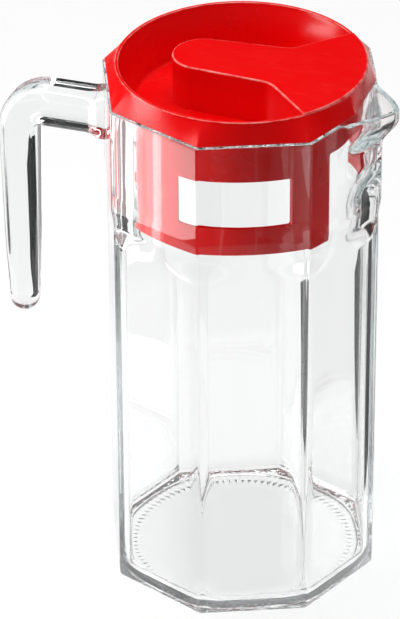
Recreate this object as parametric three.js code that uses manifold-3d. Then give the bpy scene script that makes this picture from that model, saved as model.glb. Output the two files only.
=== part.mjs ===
// Glass jug with eight flat sides, a hanging glass handle and a lift-off plastic lid.
// Millimetres. The origin is the centre of the base, +Z is up and the spout points along +X.

import * as THREE from 'three';
import { mergeVertices } from 'three/addons/utils/BufferGeometryUtils.js';
import Module from 'manifold-3d';

const wasm = await Module();
wasm.setup();

// Glass body
const jugHeight = 227;
const acrossFlats = 108.5;
const cornerRounding = 2.5;
const wall = 4;
const floorThickness = 3;
const insideRounding = 10;
const floorCornerRounding = 30;
const floorRounding = 6;
const heelRounding = 3;

// Collar round the neck
const collarHeight = 45.7;
const collarProud = 0.9;
const collarRounding = 2;
const collarSlope = 6.5;
const neckWall = 4.9;
const neckHeight = 56.5;
const neckSlope = 7;

// Spout pulled out of the collar corner
const spoutReach = 7;
const spoutHalfSpan = THREE.MathUtils.degToRad(24);
const spoutPointedness = 3;
const spoutLipHeight = 6.5;
const spoutUnderside = 13;
const spoutDip = 3;
const spoutShoulder = THREE.MathUtils.degToRad(8);
const spoutWall = 4.3;
const spoutPocketHeight = 40;
const spoutPocketSlope = 6;

// Glass handle
const handleReach = 36.8;
const handleBelowRim = 23.9;
const handleLength = 102.9;
const barWidth = 17;
const barDepth = 17.6;
const legDepth = 15.6;
const tipWidth = 13;
const tipDepth = 12.2;
const bendRadius = 12;
const rootFlare = 1;
const rootFlareLength = 6;
const handleSquareness = 4.2;
const seamGap = 0.3;

// Lid
const lidWall = 1.5;
const lidSeatGap = 0.3;
const flangeInset = 1.4;
const flangeRounding = 0.8;
const flangeHeight = 8.7;
const flangeSpoutInset = 7;
const rimOverhang = 1.9;
const dishDepth = 19;
const dishFootRadius = 44;
const skirtClearance = 0.7;
const skirtDepth = 52.2;
const windowSill = 12.2;
const windowHeight = 21.6;
const windowMiddle = THREE.MathUtils.degToRad(74.7);
const windowHalfSpan = THREE.MathUtils.degToRad(26.2);
const pourGapHalfSpan = THREE.MathUtils.degToRad(31.5);

// Finger grip in the dish
const gripProud = 0.6;
const gripEndRadius = 13;
const gripEndFromAxis = 29;
const gripRootFromAxis = 16.5;
const gripRootHalfWidth = 15.2;
const gripRootRounding = 10;

// Points round each section, a multiple of the eight corners
const pointsRound = 80;
const handlePoints = 24;
const bendSteps = 6;
const spoutSteps = 4;
const floorSteps = 3;
const heelSteps = 3;
const tipSteps = 4;
const overcut = 2;

// Sizes that follow from the ones above
const sides = 8;
const halfSide = Math.PI / sides;
const bodyApothem = acrossFlats / 2;
const collarApothem = bodyApothem + collarProud;
const neckRadius = collarApothem - neckWall;
const insideApothem = bodyApothem - wall;
const collarBottom = jugHeight - collarHeight;
const collarCornerRadius = octagonRadius(0, collarApothem, collarRounding);
const skirtRadius = neckRadius - skirtClearance;
const skirtInsideRadius = skirtRadius - lidWall;
const rimRadius = skirtRadius + rimOverhang;
const rimInsideRadius = rimRadius - lidWall;
const flangeBottom = jugHeight + lidSeatGap;
const rimTop = flangeBottom + flangeHeight;
const dishFloor = rimTop - dishDepth;
const dishUnderside = dishFloor - lidWall;
const skirtBottom = flangeBottom - skirtDepth;
const flangeApothem = collarApothem - flangeInset;
const flangeSpoutDistance = collarCornerRadius - flangeSpoutInset;

// Distance from the axis to the side of an octagon with round corners, which point along 0, 45, 90 degrees.
function octagonRadius(angle, apothem, rounding) {
  const fromCorner = Math.abs(angle - 2 * halfSide * Math.round(angle / (2 * halfSide)));
  const arcCentre = (apothem - rounding) / Math.cos(halfSide);
  const arcEnd = halfSide - Math.atan2(arcCentre * Math.sin(halfSide), apothem);
  if (fromCorner >= arcEnd) {
    return apothem / Math.cos(halfSide - fromCorner);
  }
  const across = arcCentre * Math.sin(fromCorner);
  return arcCentre * Math.cos(fromCorner) + Math.sqrt(rounding ** 2 - across ** 2);
}

// Even shares from 0 to 1.
function shares(steps) {
  return Array.from({ length: steps + 1 }, (_, step) => step / steps);
}

// Section of a solid round the Z axis: a radius and a height for each angle.
function section(radiusAt, heightAt) {
  const points = [];
  for (let i = 0; i < pointsRound; i += 1) {
    const turn = i / pointsRound;
    const angle = 2 * Math.PI * (turn > 0.5 ? turn - 1 : turn);
    const radius = radiusAt(angle);
    points.push(new THREE.Vector3(radius * Math.cos(angle), radius * Math.sin(angle), heightAt(angle)));
  }
  return points;
}

function roundSection(radius, height) {
  return section(() => radius, () => height);
}

function octagonSection(apothem, rounding, height) {
  return section((angle) => octagonRadius(angle, apothem, rounding), () => height);
}

// Closed solid through sections with as many points each, first to last, with flat or fanned ends.
function loft(sections) {
  const count = sections[0].length;
  const positions = [];
  const indices = [];
  for (const points of sections) {
    for (const point of points) {
      positions.push(point.x, point.y, point.z);
    }
  }
  const middle = (points) => points.reduce((sum, p) => sum.add(p), new THREE.Vector3()).divideScalar(count);
  const last = sections.length - 1;
  const firstMiddle = sections.length * count;
  positions.push(...middle(sections[0]).toArray(), ...middle(sections[last]).toArray());
  for (let i = 0; i < count; i += 1) {
    const next = (i + 1) % count;
    for (let level = 0; level < last; level += 1) {
      const low = level * count;
      const high = low + count;
      indices.push(low + i, low + next, high + next);
      indices.push(low + i, high + next, high + i);
    }
    indices.push(firstMiddle, next, i);
    indices.push(firstMiddle + 1, last * count + i, last * count + next);
  }
  const geometry = new THREE.BufferGeometry();
  geometry.setAttribute('position', new THREE.Float32BufferAttribute(positions, 3));
  geometry.setIndex(indices);
  return geometry;
}

function prism(shape, bottom, top) {
  const geometry = new THREE.ExtrudeGeometry(shape, { depth: top - bottom, bevelEnabled: false });
  return geometry.translate(0, 0, bottom);
}

function toSolid(geometry) {
  const bare = geometry.clone();
  bare.deleteAttribute('normal');
  bare.deleteAttribute('uv');
  const merged = mergeVertices(bare);
  const vertProperties = new Float32Array(merged.attributes.position.array);
  const triVerts = new Uint32Array(merged.index.array);
  return new wasm.Manifold(new wasm.Mesh({ numProp: 3, vertProperties, triVerts }));
}

function toMesh(solid, name, material) {
  const { vertProperties, triVerts } = solid.getMesh();
  const geometry = new THREE.BufferGeometry();
  geometry.setAttribute('position', new THREE.BufferAttribute(vertProperties, 3));
  geometry.setIndex(new THREE.BufferAttribute(triVerts, 1));
  geometry.computeVertexNormals();
  const mesh = new THREE.Mesh(geometry, material);
  mesh.name = name;
  return mesh;
}

// Glass body: an octagonal outside that swells into the collar and the spout, and an inside that turns
// from an octagon with round corners into the round neck.

// Share of the spout at an angle: 1 at its middle, 0 at its roots.
function spoutShare(angle) {
  const across = Math.min(Math.abs(angle) / spoutHalfSpan, 1);
  return (1 - across ** 2) ** spoutPointedness;
}

// Share of the spout's opening at an angle: 1 across the spout, 0 past its shoulders.
function spoutOpening(angle) {
  const past = Math.abs(angle) - (spoutHalfSpan - spoutShoulder / 2);
  return 1 - THREE.MathUtils.smoothstep(past, 0, spoutShoulder);
}

// The spout leans out from its throat to its lip, with a soft start and end.
function spoutLean(height) {
  const rise = (height - (jugHeight - spoutLipHeight - spoutUnderside)) / spoutUnderside;
  return THREE.MathUtils.smoothstep(rise, 0, 1);
}

function collarRadius(angle, height, grow) {
  const collar = octagonRadius(angle, collarApothem + grow, collarRounding);
  return collar + spoutReach * spoutLean(height) * spoutShare(angle);
}

function collarSection(height, grow) {
  const dipHere = spoutDip * THREE.MathUtils.smoothstep(height, jugHeight - spoutLipHeight, jugHeight);
  return section(
    (angle) => collarRadius(angle, height, grow),
    (angle) => height - dipHere * spoutOpening(angle),
  );
}

function spoutHeights() {
  const throat = jugHeight - spoutLipHeight - spoutUnderside;
  return shares(spoutSteps).map((share) => throat + share * spoutUnderside);
}

function jugOutside(grow) {
  const heelCurve = shares(heelSteps).map((share) => {
    const turn = share * Math.PI / 2;
    return octagonSection(
      bodyApothem + grow - heelRounding * (1 - Math.sin(turn)),
      cornerRounding,
      heelRounding * (1 - Math.cos(turn)),
    );
  });
  return toSolid(loft([
    ...heelCurve,
    octagonSection(bodyApothem + grow, cornerRounding, collarBottom - collarSlope),
    collarSection(collarBottom, grow),
    ...spoutHeights().map((height) => collarSection(height, grow)),
    collarSection(jugHeight, grow),
  ]));
}

function neckSection(height, shapeHeight) {
  const pocketBottom = jugHeight - spoutPocketHeight;
  const pocket = THREE.MathUtils.smoothstep(height, pocketBottom, pocketBottom + spoutPocketSlope);
  return section((angle) => {
    const behindSpout = collarRadius(angle, shapeHeight, 0) - spoutWall;
    return neckRadius + pocket * spoutOpening(angle) * Math.max(behindSpout - neckRadius, 0);
  }, () => height);
}

function jugInside() {
  const neckBottom = jugHeight - neckHeight;
  const pocketBottom = jugHeight - spoutPocketHeight;
  const floorCurve = shares(floorSteps).map((share) => {
    const turn = share * Math.PI / 2;
    const inset = floorRounding * (1 - Math.sin(turn));
    const rounding = THREE.MathUtils.lerp(floorCornerRounding, insideRounding, share);
    return octagonSection(
      insideApothem - inset,
      rounding - inset * (rounding / insideApothem),
      floorThickness + floorRounding * (1 - Math.cos(turn)),
    );
  });
  return toSolid(loft([
    ...floorCurve,
    octagonSection(insideApothem, insideRounding, neckBottom - neckSlope),
    neckSection(neckBottom, neckBottom),
    neckSection(pocketBottom, pocketBottom),
    neckSection(pocketBottom + spoutPocketSlope, pocketBottom + spoutPocketSlope),
    ...spoutHeights().map((height) => neckSection(height, height)),
    neckSection(jugHeight + overcut, jugHeight),
  ]));
}

const glassBody = jugOutside(0).subtract(jugInside());

// Glass handle: a bar straight out of the collar corner, one bend, and a leg that tapers to a round tip.

function handleSection(centre, across, width, depth) {
  const points = [];
  const power = 2 / handleSquareness;
  for (let i = 0; i < handlePoints; i += 1) {
    const angle = (2 * Math.PI * i) / handlePoints;
    const inPlane = Math.sign(Math.cos(angle)) * Math.abs(Math.cos(angle)) ** power * (depth / 2);
    const sideways = Math.sign(Math.sin(angle)) * Math.abs(Math.sin(angle)) ** power * (width / 2);
    points.push(centre.clone().addScaledVector(across, inPlane).add(new THREE.Vector3(0, sideways, 0)));
  }
  return points;
}

function handleSolid() {
  const up = new THREE.Vector3(0, 0, 1);
  const barHeight = jugHeight - handleBelowRim;
  const legDistance = collarCornerRadius + handleReach;
  const bendStart = legDistance - bendRadius;
  const bendBottom = barHeight - bendRadius;
  const tipHeight = barHeight - handleLength + tipDepth / 2;
  const barAt = (distance) => new THREE.Vector3(-distance, 0, barHeight);
  const sections = [
    handleSection(barAt(neckRadius), up, barWidth + 2 * rootFlare, barDepth + 2 * rootFlare),
    handleSection(barAt(collarCornerRadius), up, barWidth + 2 * rootFlare, barDepth + 2 * rootFlare),
    handleSection(barAt(collarCornerRadius + rootFlareLength), up, barWidth, barDepth),
  ];
  for (let step = 0; step <= bendSteps; step += 1) {
    const turn = (step / bendSteps) * (Math.PI / 2);
    const across = new THREE.Vector3(-Math.sin(turn), 0, Math.cos(turn));
    const centre = new THREE.Vector3(-bendStart, 0, bendBottom).addScaledVector(across, bendRadius);
    const depth = THREE.MathUtils.lerp(barDepth, legDepth, step / bendSteps);
    sections.push(handleSection(centre, across, barWidth, depth));
  }
  const outward = new THREE.Vector3(-1, 0, 0);
  for (let step = 0; step < tipSteps; step += 1) {
    const turn = (step / tipSteps) * (Math.PI / 2);
    const centre = new THREE.Vector3(-legDistance, 0, tipHeight - Math.sin(turn) * tipDepth / 2);
    const share = Math.cos(turn);
    sections.push(handleSection(centre, outward, tipWidth * share, tipDepth * share));
  }
  return toSolid(loft(sections));
}

const glassHandle = handleSolid().subtract(jugOutside(seamGap));

// Lid: the octagonal flange rises to the round rim, the core carries the dish and the skirt below it.

function flangeRadius(angle, apothem, spoutDistance) {
  const octagon = octagonRadius(angle, apothem, flangeRounding);
  const facesSpout = Math.abs(angle) < 2 * halfSide;
  return facesSpout ? Math.min(octagon, spoutDistance / Math.cos(angle)) : octagon;
}

function flangeSection(inset, height) {
  return section(
    (angle) => flangeRadius(angle, flangeApothem - inset, flangeSpoutDistance - inset),
    () => height,
  );
}

const flangeOutside = toSolid(loft([
  flangeSection(0, flangeBottom),
  roundSection(rimRadius, rimTop),
]));

const flangeHollow = toSolid(loft([
  flangeSection(lidWall, flangeBottom - overcut),
  flangeSection(lidWall, flangeBottom),
  roundSection(rimInsideRadius, rimTop),
]));

const lidCore = toSolid(loft([
  roundSection(skirtRadius, skirtBottom),
  roundSection(skirtRadius, flangeBottom),
  roundSection(rimRadius, rimTop),
]));

const dish = toSolid(loft([
  roundSection(dishFootRadius, dishFloor),
  roundSection(rimInsideRadius, rimTop),
  roundSection(rimInsideRadius, rimTop + overcut),
]));

const dishFromBelow = toSolid(loft([
  roundSection(dishFootRadius + lidWall, dishUnderside),
  roundSection(rimRadius, rimTop),
]));

const skirtInside = toSolid(loft([
  roundSection(skirtInsideRadius, skirtBottom - overcut),
  roundSection(skirtInsideRadius, flangeBottom),
])).subtract(dishFromBelow);

// Point on the way from a corner towards another point, at a distance from the corner.
function along(corner, other, distance) {
  return corner.clone().lerp(other, distance / corner.distanceTo(other));
}

// Outline of the grip seen from above: a tongue with a round end that opens softly into a fan up to a radius.
function gripOutline(inset, fanRadius) {
  const endRadius = gripEndRadius - inset;
  const end = new THREE.Vector2(gripEndRadius - gripEndFromAxis, endRadius);
  const root = new THREE.Vector2(gripRootFromAxis + inset * Math.tan(halfSide), gripRootHalfWidth - inset);
  const offset = root.x - root.y;
  const fanX = (offset + Math.sqrt(2 * fanRadius ** 2 - offset ** 2)) / 2;
  const fan = new THREE.Vector2(fanX, fanX - offset);
  const fanAngle = Math.atan2(fan.y, fan.x);
  const bend = Math.atan2(fan.y - root.y, fan.x - root.x) - Math.atan2(root.y - end.y, root.x - end.x);
  const run = (gripRootRounding + inset) * Math.tan(bend / 2);
  const tongueStop = along(root, end, run);
  const fanStart = along(root, fan, run);
  const outline = new THREE.Shape();
  outline.moveTo(fanStart.x, fanStart.y);
  outline.quadraticCurveTo(root.x, root.y, tongueStop.x, tongueStop.y);
  outline.lineTo(end.x, end.y);
  outline.absarc(end.x, 0, endRadius, Math.PI / 2, 3 * Math.PI / 2, false);
  outline.lineTo(tongueStop.x, -tongueStop.y);
  outline.quadraticCurveTo(root.x, -root.y, fanStart.x, -fanStart.y);
  outline.lineTo(fan.x, -fan.y);
  outline.absarc(0, 0, fanRadius, -fanAngle, fanAngle, false);
  outline.closePath();
  return outline;
}

const gripTop = rimTop + gripProud;
const gripUnderside = gripTop - lidWall;
const gripBlock = toSolid(prism(gripOutline(0, skirtRadius), dishUnderside, gripTop));
const gripCap = toSolid(prism(gripOutline(0, rimRadius), gripUnderside, gripTop));
const gripHollow = toSolid(prism(gripOutline(lidWall, skirtInsideRadius), dishUnderside - overcut, gripUnderside));

// Piece of the skirt between two angles, a little thicker than its wall, to cut away.
function skirtCut(middle, halfSpan, bottom, top) {
  const inner = skirtInsideRadius - overcut;
  const outer = skirtRadius + overcut;
  const outline = new THREE.Shape();
  outline.absarc(0, 0, outer, middle - halfSpan, middle + halfSpan, false);
  outline.absarc(0, 0, inner, middle + halfSpan, middle - halfSpan, true);
  outline.closePath();
  return toSolid(prism(outline, bottom, top));
}

const windowBottom = skirtBottom + windowSill;
const windowTop = windowBottom + windowHeight;

const lidSolid = flangeOutside
  .subtract(flangeHollow)
  .add(lidCore)
  .subtract(dish)
  .subtract(skirtInside)
  .add(gripBlock)
  .add(gripCap)
  .subtract(gripHollow)
  .subtract(skirtCut(windowMiddle, windowHalfSpan, windowBottom, windowTop))
  .subtract(skirtCut(-windowMiddle, windowHalfSpan, windowBottom, windowTop))
  .subtract(skirtCut(0, pourGapHalfSpan, skirtBottom - overcut, dishUnderside));

const bodyGlass = new THREE.MeshStandardMaterial({ color: 0xe4efee, roughness: 0.04, metalness: 0 });
const handleGlass = new THREE.MeshStandardMaterial({ color: 0xe8f0ef, roughness: 0.04, metalness: 0 });
const redPlastic = new THREE.MeshStandardMaterial({ color: 0xe80404, roughness: 0.35, metalness: 0 });

const jug = new THREE.Group();
jug.add(toMesh(glassBody, 'glass_body', bodyGlass));
jug.add(toMesh(glassHandle, 'glass_handle', handleGlass));
jug.add(toMesh(lidSolid, 'lid', redPlastic));

export default jug;
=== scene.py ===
# %% [markdown]
# # A pressed glass jug with a red lid
#
# This lesson dresses a jug in Blender. The jug has eight flat sides, a thick clear wall, a spout pulled out of one
# corner and a solid glass handle that hangs from the opposite corner. A red plastic lid drops into its neck.
# The measured model comes in first. It fixes where everything is, so each piece below is made in place, in metres.

# %% Bring in the measured model
import math
import bmesh
import bpy
import numpy as np
from mathutils import Matrix, Vector, noise


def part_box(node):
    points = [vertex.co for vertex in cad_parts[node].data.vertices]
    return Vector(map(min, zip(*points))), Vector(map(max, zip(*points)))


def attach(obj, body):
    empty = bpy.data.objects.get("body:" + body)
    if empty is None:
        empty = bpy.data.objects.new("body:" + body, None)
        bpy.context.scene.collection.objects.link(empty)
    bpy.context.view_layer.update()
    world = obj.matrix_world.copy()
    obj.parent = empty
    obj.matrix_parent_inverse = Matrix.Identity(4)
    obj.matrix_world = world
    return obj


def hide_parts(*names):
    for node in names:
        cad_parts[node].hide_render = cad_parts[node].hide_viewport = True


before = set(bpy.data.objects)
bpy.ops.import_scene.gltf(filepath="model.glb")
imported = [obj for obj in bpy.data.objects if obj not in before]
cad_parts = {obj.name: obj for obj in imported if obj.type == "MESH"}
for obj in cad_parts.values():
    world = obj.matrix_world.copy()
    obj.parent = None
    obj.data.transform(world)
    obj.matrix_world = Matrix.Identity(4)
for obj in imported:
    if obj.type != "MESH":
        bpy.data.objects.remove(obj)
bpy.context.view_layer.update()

body_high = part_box("glass_body")[1]
handle_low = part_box("glass_handle")[0]
lid_low, lid_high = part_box("lid")
mm = 0.001

print("jug to its glass rim:", round(body_high.z / mm, 1), "mm")
print("lid from", round(lid_low.z / mm, 1), "to", round(lid_high.z / mm, 1), "mm above the table")

# %% [markdown]
# ## The camera
#
# The picture was taken from a little above, with a long lens, so upright edges stay nearly parallel. The camera is
# set by the direction it looks from, by its distance, and by where the jug's axis falls in the frame. A long lens
# could also be had with a short lens far away and a crop, but the focal length says the same thing directly.

# %% Camera at the picture's viewing angle
camera_azimuth = math.radians(18.0)
camera_elevation = math.radians(32.06)
camera_distance = 1.8011
camera_roll = math.radians(-0.34)
sight_height = 0.1173
sight_aside = -0.0174
focal_length_in_pixels = 4300
picture_height_in_pixels = 619
sensor_height = 36

right = Vector((math.cos(camera_azimuth), math.sin(camera_azimuth), 0))
back = Vector((
    math.sin(camera_azimuth) * math.cos(camera_elevation),
    -math.cos(camera_azimuth) * math.cos(camera_elevation),
    math.sin(camera_elevation),
))
up = back.cross(right)
image_right = right * math.cos(camera_roll) + up * math.sin(camera_roll)
image_up = up * math.cos(camera_roll) - right * math.sin(camera_roll)
eye = Vector((0, 0, sight_height)) + right * sight_aside + back * camera_distance

camera = bpy.data.objects.new("camera", bpy.data.cameras.new("camera"))
bpy.context.scene.collection.objects.link(camera)
camera.data.sensor_fit = "VERTICAL"
camera.data.sensor_height = sensor_height
camera.data.lens = focal_length_in_pixels * sensor_height / picture_height_in_pixels
turned = Matrix((image_right, image_up, back)).transposed().to_4x4()
camera.matrix_world = Matrix.Translation(eye) @ turned
bpy.context.scene.camera = camera
print("camera", [round(x, 3) for x in eye], "lens", round(camera.data.lens, 1), "mm")

# %% [markdown]
# ## Rings round an axis
#
# The jug and most of the lid are turned-looking forms, but not plain turned ones: an octagon becomes a circle on the
# way up, and a spout bulges out of one side. Subdivision modelling could do it by eye. A stack of rings does it
# exactly: each ring has a radius and a height for every angle, and neighbouring rings are joined by quads.

# %% Angles and helpers for the rings
sides = 8
side_angle = 2 * math.pi / sides
half_side = side_angle / 2
even_steps = 480
close_to_corner = np.radians([0.12, 0.25, 0.38, 0.5, 0.62, 0.86, 0.98, 1.15])


def angles_round():
    """Even steps round the axis, with closer steps beside the eight corners."""
    corners = np.arange(sides) * side_angle - math.pi
    even = np.arange(even_steps) * 2 * math.pi / even_steps - math.pi
    near = (corners[:, None] + np.concatenate([-close_to_corner, close_to_corner])[None, :]).ravel()
    near = (near + math.pi) % (2 * math.pi) - math.pi
    return np.unique(np.round(np.concatenate([even, near]), 9))


theta = angles_round()


def smooth(value, start, end):
    """0 before start, 1 after end, with a soft S between them."""
    share = np.clip((value - start) / (end - start), 0, 1)
    return share * share * (3 - 2 * share)


def eased_ramp(share, ease=0.15):
    """A straight ramp from 0 to 1 whose two ends are rounded off."""
    share = np.asarray(share, float)
    low = (share + ease) ** 2 / (4 * ease)
    high = 1 - (1 - share + ease) ** 2 / (4 * ease)
    ramp = np.where(share < ease, low, np.where(share > 1 - ease, high, share))
    return np.where(share <= -ease, 0, np.where(share >= 1 + ease, 1, ramp))


def octagon(angle, apothem, rounding):
    """Distance from the axis to an octagon with round corners, which point along 0, 45, 90 degrees."""
    from_corner = np.abs((angle + half_side) % side_angle - half_side)
    arc_centre = (apothem - rounding) / math.cos(half_side)
    arc_end = half_side - np.arctan2(arc_centre * math.sin(half_side), apothem)
    across = arc_centre * np.sin(np.minimum(from_corner, arc_end))
    arc = arc_centre * np.cos(from_corner) + np.sqrt(rounding**2 - across**2)
    return np.where(from_corner >= arc_end, apothem / np.cos(half_side - from_corner), arc)


def ring(radius, height):
    """One closed ring of points, with a radius and a height for each angle."""
    radius = np.broadcast_to(radius, theta.shape)
    height = np.broadcast_to(height, theta.shape)
    return np.stack([radius * np.cos(theta), radius * np.sin(theta), height], axis=1)


def solid_through(name, rings):
    """A closed mesh through a stack of rings, with one flat face at each end."""
    count = len(rings[0])
    here = np.arange(count)
    after = (here + 1) % count
    last = (len(rings) - 1) * count
    faces = [here[::-1].tolist(), (last + here).tolist()]
    for level in range(len(rings) - 1):
        low = level * count
        high = low + count
        faces += np.stack([low + here, low + after, high + after, high + here], axis=1).tolist()
    mesh = bpy.data.meshes.new(name)
    mesh.from_pydata(np.concatenate(rings).tolist(), [], faces)
    tidy = bmesh.new()
    tidy.from_mesh(mesh)
    bmesh.ops.recalc_face_normals(tidy, faces=tidy.faces)
    tidy.to_mesh(mesh)
    tidy.free()
    piece = bpy.data.objects.new(name, mesh)
    bpy.context.scene.collection.objects.link(piece)
    return piece


def combine(piece, tool, operation):
    """Joins a tool solid to a piece, or cuts it away, and removes the tool."""
    boolean = piece.modifiers.new("combine", "BOOLEAN")
    boolean.operation = operation
    boolean.solver = "EXACT"
    boolean.object = tool
    shaped = piece.evaluated_get(bpy.context.evaluated_depsgraph_get())
    mesh = bpy.data.meshes.new_from_object(shaped)
    piece.modifiers.clear()
    old = piece.data
    piece.data = mesh
    bpy.data.meshes.remove(old)
    bpy.data.meshes.remove(tool.data)


def shade(piece, sharp_angle):
    """Smooth shading that keeps edges sharper than an angle."""
    piece.data.polygons.foreach_set("use_smooth", [True] * len(piece.data.polygons))
    piece.data.set_sharp_from_angle(angle=sharp_angle)


def open_edges(piece):
    """How many edges don't have exactly two faces, which is 0 on a closed solid."""
    check = bmesh.new()
    check.from_mesh(piece.data)
    count = sum(1 for edge in check.edges if len(edge.link_faces) != 2)
    check.free()
    return count


print("points in each ring:", len(theta))

# %% [markdown]
# ## The glass body, outside
#
# Pressed glass has flat sides with barely softened corners, because the mould is cut that way. Near the top the
# wall steps out into a collar. The spout is pulled while the glass is soft, so it leans out
# gradually, ends in a lip, and the rim sags a little where the glass was drawn.

# %% Outside of the glass
rim_height = body_high.z
body_apothem = 54.25 * mm
body_corner = 2.5 * mm
collar_bottom = rim_height - 45.7 * mm
collar_slope = 6.5 * mm
slope_ease = 0.1
collar_apothem = body_apothem + 0.9 * mm
collar_corner = 2 * mm
spout_half_span = math.radians(24)
spout_pointedness = 3
spout_shoulder = math.radians(8)
spout_lip = rim_height - 6.5 * mm
spout_throat = spout_lip - 13 * mm
spout_dip = 3 * mm
spout_reach = body_high.x - float(octagon(np.array(0.0), collar_apothem, collar_corner))


def spout_share(angle):
    return (1 - np.minimum(np.abs(angle) / spout_half_span, 1) ** 2) ** spout_pointedness


def spout_opening(angle):
    past = np.abs(angle) - (spout_half_span - spout_shoulder / 2)
    return 1 - smooth(past, 0, spout_shoulder)


def collar_radius(height):
    lean = smooth(height, spout_throat, spout_lip)
    return octagon(theta, collar_apothem, collar_corner) + spout_reach * lean * spout_share(theta)


def outside_radius(height):
    step = eased_ramp((height - (collar_bottom - collar_slope)) / collar_slope, slope_ease)
    return (1 - step) * octagon(theta, body_apothem, body_corner) + step * collar_radius(height)


def sagged(height):
    """Height of a ring, which dips where the spout was pulled."""
    return height - spout_dip * smooth(height, spout_lip, rim_height) * spout_opening(theta)


def steps(start, end, count):
    """Even steps from start towards end, with the start and without the end."""
    return np.linspace(start, end, count, endpoint=False)


rim_rounding = 0.5 * mm
heel_rounding = 1.5 * mm
wall_foot = 6 * mm
slope_bottom = collar_bottom - collar_slope
slope_edge = 1.2 * mm
outside_heights = np.concatenate([
    steps(rim_height - rim_rounding, spout_throat, 12),
    steps(spout_throat, collar_bottom + slope_edge, 5),
    steps(collar_bottom + slope_edge, collar_bottom - slope_edge, 5),
    steps(collar_bottom - slope_edge, slope_bottom + slope_edge, 3),
    steps(slope_bottom + slope_edge, slope_bottom - slope_edge, 5),
    steps(slope_bottom - slope_edge, wall_foot, 10),
])
outside_rings = [ring(outside_radius(height), sagged(height)) for height in outside_heights]
print("spout reach", round(spout_reach / mm, 2), "mm, outside rings", len(outside_rings))

# %% [markdown]
# ## The glass body, inside and rim
#
# The plunger that presses the inside leaves a smoother octagon with rounder corners and a floor that runs up into
# the walls. Under the collar it turns into a round neck, so that a round lid can turn in it. Pressed walls are
# never quite even, so a very low, slow noise pushes the inside in and out by less than a tenth of a millimetre:
# too little to see as a dent, enough to bend what is seen through the glass.

# %% Inside of the glass
wall = 4 * mm
inside_apothem = body_apothem - wall
inside_corner = 10 * mm
floor_corner = 30 * mm
floor_height = 3 * mm
floor_dome = 0.3 * mm
floor_rounding = 6 * mm
neck_radius = collar_apothem - 4.9 * mm
neck_height = 56.5 * mm
neck_slope = 7 * mm
neck_ease = 0.3
neck_edge = 2 * mm
neck_start = rim_height - neck_height - neck_slope
spout_wall = 4.3 * mm
lip_wall = 2.8 * mm
pocket_start = rim_height - 40 * mm
pocket_slope = 6 * mm
ripple = 0.07 * mm
ripple_across = 28 * mm
ripple_along = 70 * mm


def ripples(radius, height):
    """Slow unevenness of the pressed inside."""
    spots = np.stack([radius * np.cos(theta) / ripple_across, radius * np.sin(theta) / ripple_across], axis=1)
    return np.array([ripple * noise.noise((x, y, height / ripple_along)) for x, y in spots])


def inside_radius(height):
    chamber = octagon(theta, inside_apothem, inside_corner)
    pocket = smooth(height, pocket_start, pocket_start + pocket_slope) * spout_opening(theta)
    wall_here = spout_wall + (lip_wall - spout_wall) * smooth(height, spout_throat, spout_lip)
    neck = neck_radius + pocket * np.maximum(collar_radius(height) - wall_here - neck_radius, 0)
    turn = eased_ramp((height - neck_start) / neck_slope, neck_ease)
    return (1 - turn) * chamber + turn * neck


def floor_ring(share):
    """Ring of the curve from the floor (share 0) up into the wall (share 1)."""
    turn = share * math.pi / 2
    inset = floor_rounding * (1 - math.sin(turn))
    corner = floor_corner + (inside_corner - floor_corner) * share
    corner -= inset * corner / inside_apothem
    height = floor_height + floor_rounding * (1 - math.cos(turn))
    return ring(octagon(theta, inside_apothem - inset, corner), height)


floor_flat = octagon(
    theta, inside_apothem - floor_rounding, floor_corner * (1 - floor_rounding / inside_apothem)
)
floor_rings = []
for share in (0.05, 0.2, 0.4, 0.6, 0.75, 0.88, 0.96):
    floor_rings.append(ring(floor_flat * share, floor_height + floor_dome * (1 - share**2) ** 2))
floor_rings += [floor_ring(share) for share in np.linspace(0, 1, 9)[:-1]]

inside_heights = np.concatenate([
    steps(floor_height + floor_rounding, neck_start - neck_edge, 16),
    steps(neck_start - neck_edge, neck_start + neck_slope + neck_edge, 12),
    steps(neck_start + neck_slope + neck_edge, spout_throat, 5),
    np.linspace(spout_throat, rim_height - rim_rounding, 12),
])
inside_rings = []
for height in inside_heights:
    radius = inside_radius(height)
    inside_rings.append(ring(radius + ripples(radius, height), sagged(height)))


def rim_rings():
    """Fire-polished rim: an arc up from the inside and an arc down to the outside."""
    low = rim_height - rim_rounding
    inner, outer = inside_radius(low), outside_radius(low)
    found = []
    for turn in np.linspace(0, math.pi / 2, 7)[1:]:
        rise = low + rim_rounding * math.sin(turn)
        found.append(ring(inner + rim_rounding * (1 - math.cos(turn)), sagged(rise)))
    for turn in np.linspace(math.pi / 2, 0, 7)[:-1]:
        rise = low + rim_rounding * math.sin(turn)
        found.append(ring(outer - rim_rounding * (1 - math.cos(turn)), sagged(rise)))
    return found


print("inside rings", len(floor_rings) + len(inside_rings))

# %% [markdown]
# ## The base
#
# The jug stands on a stippled foot round a shallow recess, and a ring of short ribs is pressed into the recess. The
# round heel above the table is lightly grained by the mould. A bump map could fake the ribs, but they are seen
# through the thick floor, and only real ribs bend the light the way the picture shows.

# %% Base with its ring of ribs
heel_grain = 0.16 * mm
heel_grain_size = 1.6 * mm
grain_full, grain_top = 2.2 * mm, 4.2 * mm
foot_inner = 49.8 * mm
recess = 0.7 * mm
recess_slope = 0.9 * mm
rib_count = 96
rib_height = 0.3 * mm
rib_outer = 46.2 * mm
rib_inner = 43.6 * mm
rib_end = 0.5 * mm
foot_clearance = 0.15 * mm
stipple = 0.5 * mm
punt_rise = 1.0 * mm


def grain(radius, height):
    """Noise from -1 to 1 in grains of one size."""
    spots = np.stack([radius * np.cos(theta), radius * np.sin(theta)], axis=1) / heel_grain_size
    return np.array([noise.noise((x, y, height / heel_grain_size)) for x, y in spots])


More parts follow.
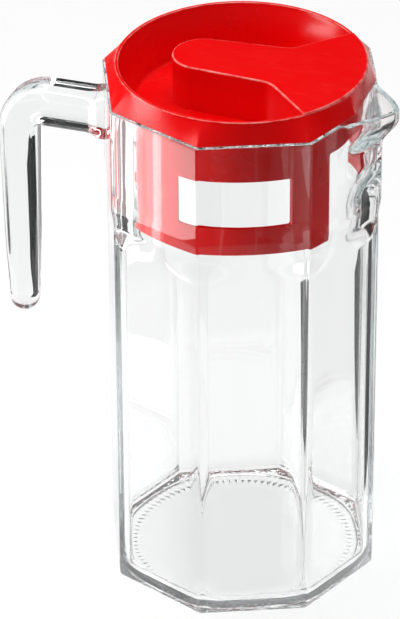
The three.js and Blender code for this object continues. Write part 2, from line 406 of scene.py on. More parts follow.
def heel_rings():
    places = [(0, height) for height in np.linspace(grain_top, heel_rounding, 8)[:-1]]
    for turn in np.linspace(0, math.pi / 2, 10):
        height = foot_clearance + (heel_rounding - foot_clearance) * (1 - math.sin(turn))
        places.append((heel_rounding * (1 - math.cos(turn)), height))
    found = []
    for inset, height in places:
        radius = octagon(theta, body_apothem - inset, body_corner)
        strength = 1 - smooth(height, grain_full, grain_top)
        found.append(ring(radius + strength * heel_grain * (grain(radius, height) - 1), height))
    return found


def foot_rings():
    """Stippled ring that the jug stands on."""
    heel_end = octagon(theta, body_apothem - heel_rounding, body_corner)
    found = []
    for share in np.linspace(0.08, 0.92, 7):
        radius = heel_end + (foot_inner - heel_end) * share
        found.append(ring(radius, foot_clearance + stipple * (1 + grain(radius, 0)) / 2))
    return found


def rib_rings():
    wave = 0.5 - 0.5 * np.cos(rib_count * theta)
    found = [ring(foot_inner, foot_clearance)]
    for share in (0.15, 0.5, 0.85, 1):
        rise = (recess - foot_clearance) * smooth(share, 0, 1)
        found.append(ring(foot_inner - recess_slope * share, foot_clearance + rise))
    found.append(ring(rib_outer, recess))
    for radius in (rib_outer - rib_end, (rib_outer + rib_inner) / 2, rib_inner + rib_end):
        found.append(ring(radius, recess - rib_height * wave))
    found.append(ring(rib_inner, recess))
    for share in (0.9, 0.75, 0.55, 0.35, 0.15, 0.02):
        found.append(ring(rib_inner * share, recess + (punt_rise - recess) * smooth(1 - share, 0, 0.7)))
    return found


glass = solid_through(
    "jug_glass",
    floor_rings + inside_rings + rim_rings() + outside_rings + heel_rings() + foot_rings() + rib_rings(),
)
print("glass body faces", len(glass.data.polygons), "open edges", open_edges(glass))

# %% [markdown]
# ## The handle
#
# The handle is a solid glass hook: a bar out of the collar, one bend and a leg that hangs free and thins towards a
# round tip. Its section is a soft square. A curve with a bevel would give one section along the whole length, so
# rings along the hook are used again, with a width and a depth of their own at each step.

# %% Handle along its hook
collar_corner_radius = float(octagon(np.array(0.0), collar_apothem, collar_corner))
bar_width, bar_depth = 17 * mm, 17.6 * mm
leg_depth = 15.6 * mm
tip_width, tip_depth = 13 * mm, 12.2 * mm
bend_radius = 12 * mm
root_flare, root_flare_length = 1.6 * mm, 6 * mm
root_depth, root_inset = neck_radius + 3 * mm, 1.5 * mm
squareness, tip_squareness = 4.2, 2.3
section_points = 72
leg_x = handle_low.x + leg_depth / 2
bar_z = rim_height - 23.9 * mm
leg_end = handle_low.z + tip_depth / 2


def hook_section(centre, across, width, depth, corners=squareness):
    """Soft square ring square to the hook; across is the direction of its depth."""
    turn = np.linspace(0, 2 * math.pi, section_points, endpoint=False)
    power = 2 / corners
    in_plane = np.sign(np.cos(turn)) * np.abs(np.cos(turn)) ** power * depth / 2
    sideways = np.sign(np.sin(turn)) * np.abs(np.sin(turn)) ** power * width / 2
    return np.array(centre) + in_plane[:, None] * np.array(across) + sideways[:, None] * np.array((0, 1, 0))


def hook_rings():
    found = []
    bend_x = leg_x + bend_radius
    bend_z = bar_z - bend_radius
    for x in [-root_depth, *np.linspace(root_inset - collar_corner_radius, bend_x, 22)]:
        out = max(-collar_corner_radius - x, 0)
        flare = root_flare * max(1 - out / root_flare_length, 0) ** 2
        found.append(hook_section((x, 0, bar_z), (0, 0, 1), bar_width + 2 * flare, bar_depth + 2 * flare))
    for turn in np.linspace(0, math.pi / 2, 19)[1:]:
        across = np.array((-math.sin(turn), 0, math.cos(turn)))
        centre = np.array((bend_x, 0, bend_z)) + bend_radius * across
        depth = bar_depth + (leg_depth - bar_depth) * turn / (math.pi / 2)
        found.append(hook_section(centre, across, bar_width, depth))
    for share in np.linspace(0, 1, 24)[1:]:
        width = bar_width + (tip_width - bar_width) * share
        depth = leg_depth + (tip_depth - leg_depth) * share
        height = bend_z + (leg_end - bend_z) * share
        corners = squareness + (tip_squareness - squareness) * smooth(share, 0.6, 1)
        found.append(hook_section((leg_x, 0, height), (-1, 0, 0), width, depth, corners))
    for turn in np.linspace(0, math.pi / 2, 12)[1:-1]:
        height = leg_end - math.sin(turn) * tip_depth / 2
        share = math.cos(turn)
        found.append(hook_section(
            (leg_x, 0, height), (-1, 0, 0), tip_width * share, tip_depth * share, tip_squareness
        ))
    return found


hook = solid_through("hook", hook_rings())
combine(glass, hook, "UNION")
shade(glass, math.radians(50))
print("glass with handle: faces", len(glass.data.polygons), "open edges", open_edges(glass))

# %% [markdown]
# ## The lid's shell
#
# The lid is one thin moulding. From the middle outwards: the floor of the dish, the dish wall, a narrow rim, a
# skirt outside that starts as an octagon and closes to the round rim, and a round skirt that hangs in the neck.
# All of that is again one stack of rings, folded over the rim. Small arcs stand at every edge, because a moulded
# edge is never sharp and those arcs are what catches the light.

# %% Shell of the lid
lid_wall = 1.5 * mm
grip_proud = 0.6 * mm
rim_top = lid_high.z - grip_proud
skirt_bottom = lid_low.z
flange_bottom = rim_height + 0.3 * mm
dish_floor = rim_top - 19 * mm
dish_underside = dish_floor - lid_wall
dish_foot = 44.5 * mm
skirt_radius = neck_radius - 0.7 * mm
skirt_inside = skirt_radius - lid_wall
lid_rim_radius = skirt_radius + 1.9 * mm
lid_rim_inside = lid_rim_radius - lid_wall
flange_apothem = collar_apothem - 0.9 * mm
flange_corner = 1.5 * mm
flange_corner_high = 12 * mm
flange_ledge, hollow_ledge = 0.15 * mm, 0.05 * mm
flange_spout_distance = collar_corner_radius - 7 * mm
lid_edge = 0.4 * mm
dish_fillet = 1.5 * mm
dish_flare = 1.6


def flange_radius(corner):
    """Octagon of the flange, cut straight across in front of the spout."""
    eight_sided = octagon(theta, flange_apothem, corner)
    toward_spout = np.cos(np.clip(theta, -side_angle, side_angle))
    chord = np.where(np.abs(theta) < side_angle, flange_spout_distance / toward_spout, np.inf)
    return np.maximum(np.minimum(eight_sided, chord), skirt_radius + flange_ledge)


def dish_wall(height):
    """Radius of the dish, which opens from its foot to the rim."""
    share = (height - dish_floor - dish_fillet) / (rim_top - lid_edge - dish_floor - dish_fillet)
    return dish_foot + (lid_rim_inside - dish_foot) * np.maximum(share, 0) ** dish_flare


def arc(start_turn, end_turn, count):
    return np.radians(np.linspace(start_turn, end_turn, count))


def shell_rings():
    flange_out = flange_radius(flange_corner)
    flange_in = np.maximum(flange_out - lid_wall, skirt_radius + hollow_ledge)
    flange_edge = np.minimum(lid_edge, (flange_out - flange_in) / 3)
    rise = rim_top - flange_bottom
    found = [ring(dish_foot * share, dish_floor) for share in (0.03, 0.2, 0.4, 0.6, 0.8, 0.92)]
    for turn in arc(0, 90, 7):
        found.append(ring(
            dish_foot - dish_fillet * (1 - math.sin(turn)),
            dish_floor + dish_fillet * (1 - math.cos(turn)),
        ))
    for height in np.linspace(dish_floor + dish_fillet, rim_top - lid_edge, 12)[1:-1]:
        found.append(ring(dish_wall(height), height))
    for turn in arc(0, 90, 6):
        found.append(ring(
            lid_rim_inside + lid_edge * (1 - math.cos(turn)), rim_top - lid_edge * (1 - math.sin(turn))
        ))
    for turn in arc(90, 0, 6):
        found.append(ring(
            lid_rim_radius - lid_edge * (1 - math.cos(turn)), rim_top - lid_edge * (1 - math.sin(turn))
        ))
    for share in np.linspace(0, 1, 9)[1:-1]:
        height = rim_top - lid_edge - (rise - 2 * lid_edge) * share
        softer = flange_radius(flange_corner + (flange_corner_high - flange_corner) * (1 - share) ** 2)
        found.append(ring(lid_rim_radius + (softer - lid_rim_radius) * share, height))
    for turn in arc(0, 90, 5):
        found.append(ring(
            flange_out - flange_edge * (1 - math.cos(turn)), flange_bottom + flange_edge * (1 - math.sin(turn))
        ))
    found.append(ring(flange_in, flange_bottom))
    hollow = (flange_in - skirt_radius) / (flange_in - lid_rim_inside + lid_rim_radius - skirt_radius)
    found.append(ring(skirt_radius + (lid_rim_radius - skirt_radius) * hollow, flange_bottom + rise * hollow))
    for height in np.linspace(flange_bottom, skirt_bottom + lid_edge, 8):
        found.append(ring(skirt_radius, height))
    for turn in arc(0, 90, 5)[1:]:
        found.append(ring(
            skirt_radius - lid_edge * (1 - math.cos(turn)), skirt_bottom + lid_edge * (1 - math.sin(turn))
        ))
    for turn in arc(90, 0, 5):
        found.append(ring(
            skirt_inside + lid_edge * (1 - math.cos(turn)), skirt_bottom + lid_edge * (1 - math.sin(turn))
        ))
    for height in np.linspace(skirt_bottom + lid_edge, gap_top, 8)[1:]:
        found.append(ring(skirt_inside, height))
    for height in np.linspace(gap_top, dish_underside, 6)[1:]:
        found.append(ring(np.minimum(dish_wall(height + lid_wall) + lid_wall, skirt_inside), height))
    found += [ring(dish_foot * share, dish_underside) for share in (0.9, 0.7, 0.4, 0.1)]
    return found


gap_top = dish_floor + 7 * mm
lid = solid_through("lid_moulding", shell_rings())
print("lid shell faces", len(lid.data.polygons), "open edges", open_edges(lid))

# %% [markdown]
# ## The finger grip
#
# A tongue with a round end stands in the dish and opens into a fan towards the spout, so a thumb and a finger can
# turn and lift the lid. Its outline is drawn from lines and arcs and then stacked in layers. The top layers step
# inwards along a quarter circle, which rounds the top edge. The grip is hollow from below, as the moulding is.

# %% Grip in the dish
grip_top = lid_high.z
grip_end_radius = 13 * mm
grip_end_from_axis = 29 * mm
grip_root_from_axis = 16.5 * mm
grip_root_half_width = 15.2 * mm
grip_root_rounding = 10 * mm
grip_edge = 0.7 * mm


def grip_outline(inset, fan_radius):
    """Points round the tongue and the fan, seen from above."""
    end_x = grip_end_radius - grip_end_from_axis
    root_x = grip_root_from_axis + inset * math.tan(half_side)
    root_y = grip_root_half_width - inset
    offset = root_x - root_y
    fan_x = (offset + math.sqrt(2 * fan_radius**2 - offset**2)) / 2
    fan_turn = math.atan2(fan_x - offset, fan_x)
    outline = []
    for turn in np.linspace(-fan_turn, fan_turn, 61):
        outline.append((fan_radius * math.cos(turn), fan_radius * math.sin(turn)))
    fan_end = np.array(outline[-1])
    end_radius = grip_end_radius - inset
    root, tongue = np.array((root_x, root_y)), np.array((end_x, end_radius))
    to_fan, to_tongue = fan_end - root, tongue - root
    bend = math.atan2(to_fan[1], to_fan[0]) - math.atan2(-to_tongue[1], -to_tongue[0])
    run = (grip_root_rounding + inset) * math.tan(bend / 2)
    fan_start = root + to_fan * run / np.linalg.norm(to_fan)
    tongue_stop = root + to_tongue * run / np.linalg.norm(to_tongue)
    side = [fan_end + (fan_start - fan_end) * share for share in np.linspace(0, 1, 10)[1:]]
    for share in np.linspace(0, 1, 10)[1:]:
        side.append((1 - share) ** 2 * fan_start + 2 * share * (1 - share) * root + share**2 * tongue_stop)
    side += [tongue_stop + (tongue - tongue_stop) * share for share in np.linspace(0, 1, 12)[1:-1]]
    outline += [(x, y) for x, y in side]
    for turn in np.linspace(math.pi / 2, 3 * math.pi / 2, 49):
        outline.append((end_x + end_radius * math.cos(turn), end_radius * math.sin(turn)))
    outline += [(x, -y) for x, y in side[::-1]]
    return np.array(outline)


def layer(outline, height):
    return np.column_stack([outline, np.full(len(outline), height)])


def grip_layers():
    """A block that stands in the floor and in the dish wall, and widens over the rim at its top."""
    fan_over_rim = lid_rim_radius - rim_setback
    found = [
        layer(grip_outline(0, inside_the_wall), inside_the_floor),
        layer(grip_outline(0, inside_the_wall), flange_bottom),
        layer(grip_outline(0, lid_rim_inside + lid_wall / 2), under_the_rim),
        layer(grip_outline(0, fan_over_rim), rim_top - lid_edge),
        layer(grip_outline(0, fan_over_rim), grip_top - grip_edge),
    ]
    for turn in arc(0, 90, 7)[1:]:
        inset = grip_edge * (1 - math.cos(turn))
        found.append(layer(grip_outline(inset, fan_over_rim - inset), grip_top - grip_edge * (1 - math.sin(turn))))
    return found


inside_the_floor = dish_floor - lid_wall / 2
inside_the_wall = skirt_radius - lid_wall / 2
under_the_rim = rim_top - lid_wall
rim_setback = 0.15 * mm
hollow_setback = 0.2 * mm
combine(lid, solid_through("grip", grip_layers()), "UNION")
hollow_layers = [
    layer(grip_outline(lid_wall, skirt_inside - hollow_setback), dish_underside - lid_wall),
    layer(grip_outline(lid_wall, skirt_inside - hollow_setback), grip_top - lid_wall),
]
combine(lid, solid_through("grip_hollow", hollow_layers), "DIFFERENCE")
print("lid with grip: faces", len(lid.data.polygons), "open edges", open_edges(lid))

# %% [markdown]
# ## Windows and pouring gap in the skirt
#
# The skirt is cut away towards the spout so the drink can leave, and it has a window on each side: turned to the
# spout, a window holds back ice. Each cut is a curved block that passes through the skirt, with rounded corners
# drawn on the unrolled skirt and then wrapped back round the axis.

# %% Cuts through the skirt
window_bottom = skirt_bottom + 12.2 * mm
window_top = window_bottom + 21.6 * mm
window_middle = math.radians(74.7)
window_half_span = math.radians(26.2)
pour_gap_half_span = math.radians(31.5)
cut_corner = 1.0 * mm
gap_lip = 0.5 * mm
cut_margin = 2 * mm
cut_step = 0.8 * mm
gap_overrun = 4 * mm
skirt_bulge = skirt_radius * (1 - math.cos(pour_gap_half_span))


def rounded_panel(half_width, low, high, corner):
    """Outline of a rectangle with round corners on the unrolled skirt: distance along it, and height."""
    outline = []
    for start, along, height in (
        (0, half_width - corner, high - corner), (90, corner - half_width, high - corner),
        (180, corner - half_width, low + corner), (270, half_width - corner, low + corner),
    ):
        for turn in arc(start, start + 90, 7):
            outline.append((along + corner * math.cos(turn), height + corner * math.sin(turn)))
    closed = outline + outline[:1]
    finer = []
    for (x0, z0), (x1, z1) in zip(closed, closed[1:]):
        parts = max(1, int(abs(x1 - x0) / cut_step))
        for part in range(parts):
            finer.append((x0 + (x1 - x0) * part / parts, z0 + (z1 - z0) * part / parts))
    return np.array(finer)


def skirt_cut(name, middle, half_span, low, high):
    outline = rounded_panel(half_span * skirt_radius, low, high, cut_corner)
    turn = middle + outline[:, 0] / skirt_radius
    layers = []
    for radius in (skirt_inside - cut_margin, skirt_radius + cut_margin + skirt_bulge):
        layers.append(np.column_stack([radius * np.cos(turn), radius * np.sin(turn), outline[:, 1]]))
    return solid_through(name, layers)


for side in (1, -1):
    window = skirt_cut("window", side * window_middle, window_half_span, window_bottom, window_top)
    combine(lid, window, "DIFFERENCE")
gap = skirt_cut("pour_gap", 0, pour_gap_half_span, skirt_bottom - gap_overrun, dish_underside - gap_lip)
combine(lid, gap, "DIFFERENCE")
shade(lid, math.radians(28))


# The marked upper edges get paler paint: a painted edge highlight, mixed with some rubbed wear.
def mark_edge_sheen_and_wear(piece, lowest):
    """Stores 1 on the points of rounded outer edges above a height, and 0 elsewhere."""
    check = bmesh.new()
    check.from_mesh(piece.data)
    wear_and_sheen = np.zeros(len(check.verts), np.float32)
    for edge in check.edges:
        if len(edge.link_faces) == 2 and edge.calc_face_angle_signed() > least_turn:
            for corner in edge.verts:
                if corner.co.z > lowest:
                    wear_and_sheen[corner.index] = 1
    check.free()
    piece.data.attributes.new("edge_sheen_and_wear", "FLOAT", "POINT").data.foreach_set("value", wear_and_sheen)
    return int(wear_and_sheen.sum())


least_turn = math.radians(12)
print("points on worn edges:", mark_edge_sheen_and_wear(lid, flange_bottom + lid_edge))
print("finished lid: faces", len(lid.data.polygons), "open edges", open_edges(lid))

# %% [markdown]
# ## Node helpers
#
# Every finish below is a small network of shader nodes. Adding nodes and wiring them by hand takes many lines, so
# two helpers do it: one adds a node and sets its values, one joins an output to an input.

# %% Helpers for shader nodes
def new_material(name):
    material = bpy.data.materials.new(name)
    material.use_nodes = True
    material.node_tree.nodes.clear()
    return material, material.node_tree


def add(tree, kind, settings=(), **inputs):
    """A node of a kind, with its settings and its unlinked inputs; an input is named in lower case."""
    node = tree.nodes.new(kind)
    for name, value in dict(settings).items():
        setattr(node, name, value)
    for name, value in inputs.items():
        plain = name.replace("_", " ")
        for socket in node.inputs:
            if socket.name.lower() == plain and socket.enabled:
                socket.default_value = value
                break
        else:
            raise KeyError(f"{kind} has no input {plain}")
    return node


def join(tree, output, target):
    tree.links.new(output, target)


# %% [markdown]
# ## Clear glass
#
# The jug is soda-lime glass: it bends light with an index of 1.52, and it is colourless until light has travelled
# a few centimetres in it, when a blue-green tint shows. So the surface stays white and the tint sits in a volume
# that absorbs. Light from lamps would need slow caustics to get through, so shadow rays pass a tinted transparent
# surface instead.

# %% Glass material
def clear_glass():
    material, tree = new_material("clear_glass")
    spots = add(tree, "ShaderNodeTexCoord")
    haze = add(tree, "ShaderNodeTexNoise", scale=60.0, detail=3.0)
    join(tree, spots.outputs["Object"], haze.inputs["Vector"])
    roughness = add(tree, "ShaderNodeMapRange", from_min=0.35, from_max=0.75, to_min=0.0, to_max=0.012)
    join(tree, haze.outputs["Fac"], roughness.inputs["Value"])
    flow = add(tree, "ShaderNodeTexNoise", scale=22.0, detail=1.0)
    join(tree, spots.outputs["Object"], flow.inputs["Vector"])
    bump = add(tree, "ShaderNodeBump", strength=0.04, distance=0.002)
    join(tree, flow.outputs["Fac"], bump.inputs["Height"])
    surface = add(tree, "ShaderNodeBsdfPrincipled", ior=1.52, transmission_weight=1.0)
    surface.inputs["Base Color"].default_value = (1, 1, 1, 1)
    join(tree, roughness.outputs["Result"], surface.inputs["Roughness"])
    join(tree, bump.outputs["Normal"], surface.inputs["Normal"])
    pass_light = add(tree, "ShaderNodeBsdfTransparent", color=(0.88, 0.9, 0.9, 1))
    path = add(tree, "ShaderNodeLightPath")
    either = add(tree, "ShaderNodeMixShader")
    join(tree, path.outputs["Is Shadow Ray"], either.inputs["Fac"])
    join(tree, surface.outputs["BSDF"], either.inputs[1])
    join(tree, pass_light.outputs["BSDF"], either.inputs[2])
    tint = add(tree, "ShaderNodeVolumeAbsorption", color=(0.85, 0.9, 0.905, 1), density=10.0)
    output = add(tree, "ShaderNodeOutputMaterial")
    join(tree, either.outputs["Shader"], output.inputs["Surface"])
    join(tree, tint.outputs["Volume"], output.inputs["Volume"])
    return material


glass.data.materials.append(clear_glass())
print("glass material on", glass.name)

# %% [markdown]
# ## Red plastic
#
# The lid is glossy polypropylene in one saturated red. Handling leaves fine scuffs along the top of the grip. The
# moulded upper edges are painted paler in patches: a painted highlight for the light their small arcs catch, mixed
# with some rubbed wear. The scuffs are a noise stretched along the tongue and kept to surfaces that face up.

# %% Plastic material
def red_plastic():
    material, tree = new_material("red_plastic")
    spots = add(tree, "ShaderNodeTexCoord")
    stretch = add(tree, "ShaderNodeMapping")
    stretch.inputs["Scale"].default_value = (90, 1100, 200)
    join(tree, spots.outputs["Object"], stretch.inputs["Vector"])
    streaks = add(tree, "ShaderNodeTexNoise", scale=1.0, detail=4.0, roughness=0.6)
    join(tree, stretch.outputs["Vector"], streaks.inputs["Vector"])
    scuffs = add(tree, "ShaderNodeMapRange", from_min=0.58, from_max=0.72, to_min=0.0, to_max=1.0)
    join(tree, streaks.outputs["Fac"], scuffs.inputs["Value"])
    shape = add(tree, "ShaderNodeNewGeometry")
    facing = add(tree, "ShaderNodeSeparateXYZ")
    join(tree, shape.outputs["Normal"], facing.inputs["Vector"])
    face_up = add(tree, "ShaderNodeMapRange", from_min=0.9, from_max=0.99, to_min=0.0, to_max=0.15)
    join(tree, facing.outputs["Z"], face_up.inputs["Value"])
    wear_and_sheen = add(tree, "ShaderNodeMath", {"operation": "MULTIPLY"})
    join(tree, scuffs.outputs["Result"], wear_and_sheen.inputs[0])
    join(tree, face_up.outputs["Result"], wear_and_sheen.inputs[1])
    colour = add(tree, "ShaderNodeMix", {"data_type": "RGBA"})
    colour.inputs[6].default_value = (0.86, 0.001, 0.002, 1)
    colour.inputs[7].default_value = (0.95, 0.09, 0.07, 1)
    join(tree, wear_and_sheen.outputs["Value"], colour.inputs[0])
    # Painted highlight on the marked upper edges, mixed with rubbed wear, in random patches of paler red.
    edge = add(tree, "ShaderNodeAttribute", {"attribute_name": "edge_sheen_and_wear"})
    edge_patches = add(tree, "ShaderNodeTexNoise", scale=260.0, detail=3.0)
    join(tree, spots.outputs["Object"], edge_patches.inputs["Vector"])
    patchy = add(tree, "ShaderNodeMapRange", from_min=0.35, from_max=0.65, to_min=0.1, to_max=0.75)
    join(tree, edge_patches.outputs["Fac"], patchy.inputs["Value"])
    pale = add(tree, "ShaderNodeMath", {"operation": "MULTIPLY"})
    join(tree, edge.outputs["Fac"], pale.inputs[0])
    join(tree, patchy.outputs["Result"], pale.inputs[1])
    edged = add(tree, "ShaderNodeMix", {"data_type": "RGBA"})
    edged.inputs[7].default_value = (0.95, 0.4, 0.36, 1)
    join(tree, pale.outputs["Value"], edged.inputs[0])
    join(tree, colour.outputs[2], edged.inputs[6])
    cloud = add(tree, "ShaderNodeTexNoise", scale=45.0, detail=2.0)
    join(tree, spots.outputs["Object"], cloud.inputs["Vector"])
    roughness = add(tree, "ShaderNodeMapRange", from_min=0.3, from_max=0.7, to_min=0.2, to_max=0.3)
    join(tree, cloud.outputs["Fac"], roughness.inputs["Value"])
    skin = add(tree, "ShaderNodeTexNoise", scale=900.0, detail=2.0)
    join(tree, spots.outputs["Object"], skin.inputs["Vector"])
    bump = add(tree, "ShaderNodeBump", strength=0.05, distance=0.0004)
    join(tree, skin.outputs["Fac"], bump.inputs["Height"])
    surface = add(tree, "ShaderNodeBsdfPrincipled", ior=1.49)
    join(tree, edged.outputs[2], surface.inputs["Base Color"])
    join(tree, roughness.outputs["Result"], surface.inputs["Roughness"])
    join(tree, bump.outputs["Normal"], surface.inputs["Normal"])
    output = add(tree, "ShaderNodeOutputMaterial")
    join(tree, surface.outputs["BSDF"], output.inputs["Surface"])
    return material


lid.data.materials.append(red_plastic())
print("plastic material on", lid.name)

# %% [markdown]
# ## Table
#
# The jug stands on a white table. The camera, the gloss and the glass see it as plain white with the jug's soft
# shadow on it. To every other ray it is an ordinary pale surface, which throws the light of the lamps back up.

# %% Floor
floor_size = 3.0
floor_drop = 0.2 * mm
table_glow = 0.7
floor_mesh = bpy.data.meshes.new("floor")
half = floor_size / 2
floor_corners = [(-half, -half, 0), (half, -half, 0), (half, half, 0), (-half, half, 0)]
floor_mesh.from_pydata(floor_corners, [], [(0, 1, 2, 3)])
floor = bpy.data.objects.new("floor", floor_mesh)
floor.location.z = -floor_drop
bpy.context.scene.collection.objects.link(floor)


def any_of(tree, *outputs):
    """1 where at least one of the outputs is 1."""
    found = outputs[0]
    for output in outputs[1:]:
        either = add(tree, "ShaderNodeMath", {"operation": "MAXIMUM"})
        join(tree, found, either.inputs[0])
        join(tree, output, either.inputs[1])
        found = either.outputs["Value"]
    return found


def white_table():
    material, tree = new_material("white_table")
    rays = add(tree, "ShaderNodeLightPath").outputs
    seen = any_of(tree, rays["Is Camera Ray"], rays["Is Glossy Ray"], rays["Is Transmission Ray"])
    share = add(tree, "ShaderNodeMath", {"operation": "MULTIPLY"})
    share.inputs[1].default_value = table_glow
    join(tree, seen, share.inputs[0])
    lit = add(tree, "ShaderNodeBsdfDiffuse", color=(0.96, 0.96, 0.96, 1))
    glow = add(tree, "ShaderNodeEmission", color=(1, 1, 1, 1), strength=1.0)
    either = add(tree, "ShaderNodeMixShader")
    join(tree, share.outputs["Value"], either.inputs["Fac"])
    join(tree, lit.outputs["BSDF"], either.inputs[1])
    join(tree, glow.outputs["Emission"], either.inputs[2])
    output = add(tree, "ShaderNodeOutputMaterial")
    join(tree, either.outputs["Shader"], output.inputs["Surface"])
    return material


floor_mesh.materials.append(white_table())

# %% [markdown]
# ## Cards on the table
#
# Clear glass on white has almost no outline. Photographers lay dark cards just outside the picture: the edges of
# the glass bend them in as thin dark lines, and the flat sides stop mirroring the table. The gaps between the cards
# leave pale stripes on the sides. The cards here throw no shadow and take no light away. Only two small ones are
# seen straight through the glass: a corner of the jug and an edge of the handle bend them into dark lines. The others
# show in mirrored light alone, so the glass stays clear from every side.

# %% Cards outside the picture
away = Vector((-right.y, right.x, 0))
card_lift, through_lift = 0.5 * mm, 0.8 * mm


def card(name, grey, outline, clear=(), through=False):
    """Card on the table, from points as metres to the right and behind.

    It fades out towards the points listed as clear. It shows in mirrored light only, unless it is seen through glass.
    """
    mesh = bpy.data.meshes.new(name)
    lift = Vector((0, 0, through_lift if through else card_lift))
    points = [right * across + away * behind + lift for across, behind in outline]
    mesh.from_pydata([tuple(point) for point in points], [], [tuple(range(len(points)))])
    cover = [0.0 if index in clear else 1.0 for index in range(len(points))]
    mesh.attributes.new("cover", "FLOAT", "POINT").data.foreach_set("value", cover)
    piece = bpy.data.objects.new(name, mesh)
    bpy.context.scene.collection.objects.link(piece)
    material, tree = new_material(name)
    dark = add(tree, "ShaderNodeBsdfDiffuse", color=(grey, grey, grey, 1))
    nothing = add(tree, "ShaderNodeBsdfTransparent", color=(1, 1, 1, 1))
    covered = add(tree, "ShaderNodeAttribute", {"attribute_name": "cover"}).outputs["Fac"]
    either = add(tree, "ShaderNodeMixShader")
    if not through:
        mirrored = add(tree, "ShaderNodeMath", {"operation": "MULTIPLY", "use_clamp": True})
        join(tree, add(tree, "ShaderNodeLightPath").outputs["Glossy Depth"], mirrored.inputs[0])
        join(tree, covered, mirrored.inputs[1])
        covered = mirrored.outputs["Value"]
    join(tree, covered, either.inputs["Fac"])
    join(tree, nothing.outputs["BSDF"], either.inputs[1])
    join(tree, dark.outputs["BSDF"], either.inputs[2])
    output = add(tree, "ShaderNodeOutputMaterial")
    join(tree, either.outputs["Shader"], output.inputs["Surface"])
    mesh.materials.append(material)
    piece.visible_camera = False
    piece.visible_diffuse = False
    piece.visible_shadow = False


card("card_right", 0.06, [
    (0.105, -0.06), (0.5, -0.06), (0.5, 0.5), (0.12, 0.22), (0.12, 0.02), (0.105, 0.03),
])
card("card_line", 0.04, [
    (0.08, 0.07), (0.105, 0.03), (0.17, 0.0), (0.17, 0.25), (0.08, 0.22),
], through=True)
card("card_front", 0.4, [(-0.03, -0.062), (0.13, -0.062), (0.13, -0.345), (-0.03, -0.345)])
card("card_front_right", 0.15, [(0.13, -0.062), (0.345, -0.062), (0.345, -0.345), (0.13, -0.345)])
card("card_far", 0.02, [(-0.6, -0.345), (0.0725, -0.345), (0.14, -0.7), (0.14, -1.45), (-0.6, -1.45)])
card("card_far_right", 0.02, [(0.095, -0.345), (0.7, -0.345), (0.7, -1.45), (0.165, -1.45), (0.165, -0.7)])
card("card_stripe", 0.4, [
    (0.0725, -0.345), (0.095, -0.345), (0.165, -0.7), (0.165, -1.45), (0.14, -1.45), (0.14, -0.7),
])
card("card_left", 0.02, [(-0.03, -0.345), (-0.6, -0.345), (-0.6, -0.153), (-0.03, -0.064)])
card("card_left_edge", 0.02, [(-0.03, -0.064), (-0.6, -0.153), (-0.6, -0.128), (-0.03, -0.039)], clear=(2, 3))
card("card_behind", 0.02, [(-0.21, 0.17), (-0.21, 1.2), (-1.2, 1.2), (-1.2, 0.17)])
card("card_hook", 0.02, [(-0.19, 0.15), (-0.19, 0.34), (-0.32, 0.34), (-0.32, 0.15)], through=True)

# %% [markdown]
# ## Light
#
# One large soft lamp hangs above and one stands to the left, as the highlights on the lid show. Two small panels
# close to the table on the left give the pale sheen on the left of the flange and of the collar. The room around
# them is pale to matte surfaces, white where the camera looks out, and nearly dark to the gloss of the lid, so its
# red stays deep. The glass sees a white backdrop that ends under a dark ceiling, and that ceiling draws its edges.

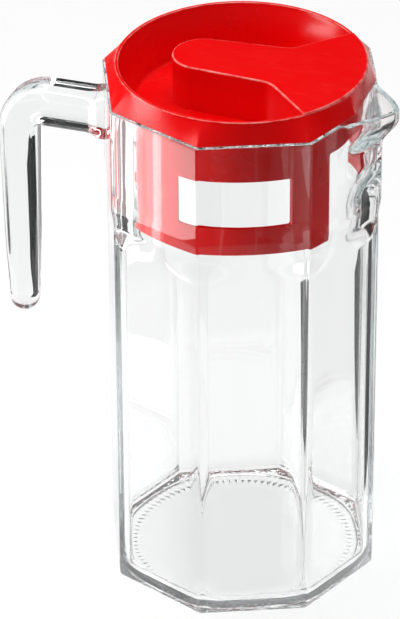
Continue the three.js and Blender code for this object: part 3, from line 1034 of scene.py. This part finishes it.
# %% World and lamps
world = bpy.data.worlds.new("studio")
bpy.context.scene.world = world
world.use_nodes = True
sky = world.node_tree
sky.nodes.clear()
rays = add(sky, "ShaderNodeLightPath").outputs
seen_white = add(sky, "ShaderNodeBackground", color=(1, 1, 1, 1), strength=1.0)
in_gloss = add(sky, "ShaderNodeBackground", color=(1, 1, 1, 1), strength=0.02)
in_glass = add(sky, "ShaderNodeBackground", color=(1, 1, 1, 1))
direction = add(sky, "ShaderNodeSeparateXYZ")
join(sky, add(sky, "ShaderNodeTexCoord").outputs["Generated"], direction.inputs["Vector"])
ceiling = add(sky, "ShaderNodeMapRange", from_min=0.0, from_max=0.15, to_min=0.9, to_max=0.05)
join(sky, direction.outputs["Z"], ceiling.inputs["Value"])
join(sky, ceiling.outputs["Result"], in_glass.inputs["Strength"])
room = add(sky, "ShaderNodeBackground", color=(1, 1, 1, 1), strength=0.12)
so_far = room.outputs["Background"]
for kind, background in (
    ("Is Glossy Ray", in_gloss), ("Is Transmission Ray", in_glass), ("Is Camera Ray", seen_white),
):
    either = add(sky, "ShaderNodeMixShader")
    join(sky, rays[kind], either.inputs["Fac"])
    join(sky, so_far, either.inputs[1])
    join(sky, background.outputs["Background"], either.inputs[2])
    so_far = either.outputs["Shader"]
sky_output = add(sky, "ShaderNodeOutputWorld")
join(sky, so_far, sky_output.inputs["Surface"])


def softbox(name, place, target, width, height, radiance):
    """Area lamp from metres to the right, behind and up, aimed at a spot given the same way."""
    lamp = bpy.data.lights.new(name, "AREA")
    lamp.shape = "RECTANGLE"
    lamp.size, lamp.size_y = width, height
    lamp.energy = radiance * math.pi * width * height
    holder = bpy.data.objects.new(name, lamp)
    bpy.context.scene.collection.objects.link(holder)
    spot, aim = (right * x + away * y + Vector((0, 0, z)) for x, y, z in (place, target))
    holder.location = spot
    holder.rotation_euler = (spot - aim).to_track_quat("Z", "Y").to_euler()
    holder.visible_camera = False
    print(name, "lamp,", round(lamp.energy, 2), "W")


softbox("key", (-1.31, 0.06, 1.33), (0, 0, 0.15), 1.12, 1.12, 2.8)
softbox("overhead", (0.08, 0.15, 2.05), (0, 0, 0.15), 1.44, 1.44, 4.7)
softbox("panel_low", (-0.30, -0.08, 0.074), (0, -0.08, 0.074), 0.1, 0.12, 4.2)
softbox("panel_tall", (-0.30, -0.02, 0.22), (0, -0.02, 0.22), 0.16, 0.16, 6.0)
bpy.context.scene.view_settings.view_transform = "Standard"
bounces = 40
cycles = bpy.context.scene.cycles
cycles.max_bounces = cycles.glossy_bounces = cycles.transmission_bounces = bounces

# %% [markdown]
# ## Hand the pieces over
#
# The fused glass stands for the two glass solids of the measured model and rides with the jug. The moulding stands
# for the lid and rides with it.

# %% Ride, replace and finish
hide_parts("glass_body", "glass_handle")
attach(glass, "jug")
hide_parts("lid")
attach(lid, "lid")
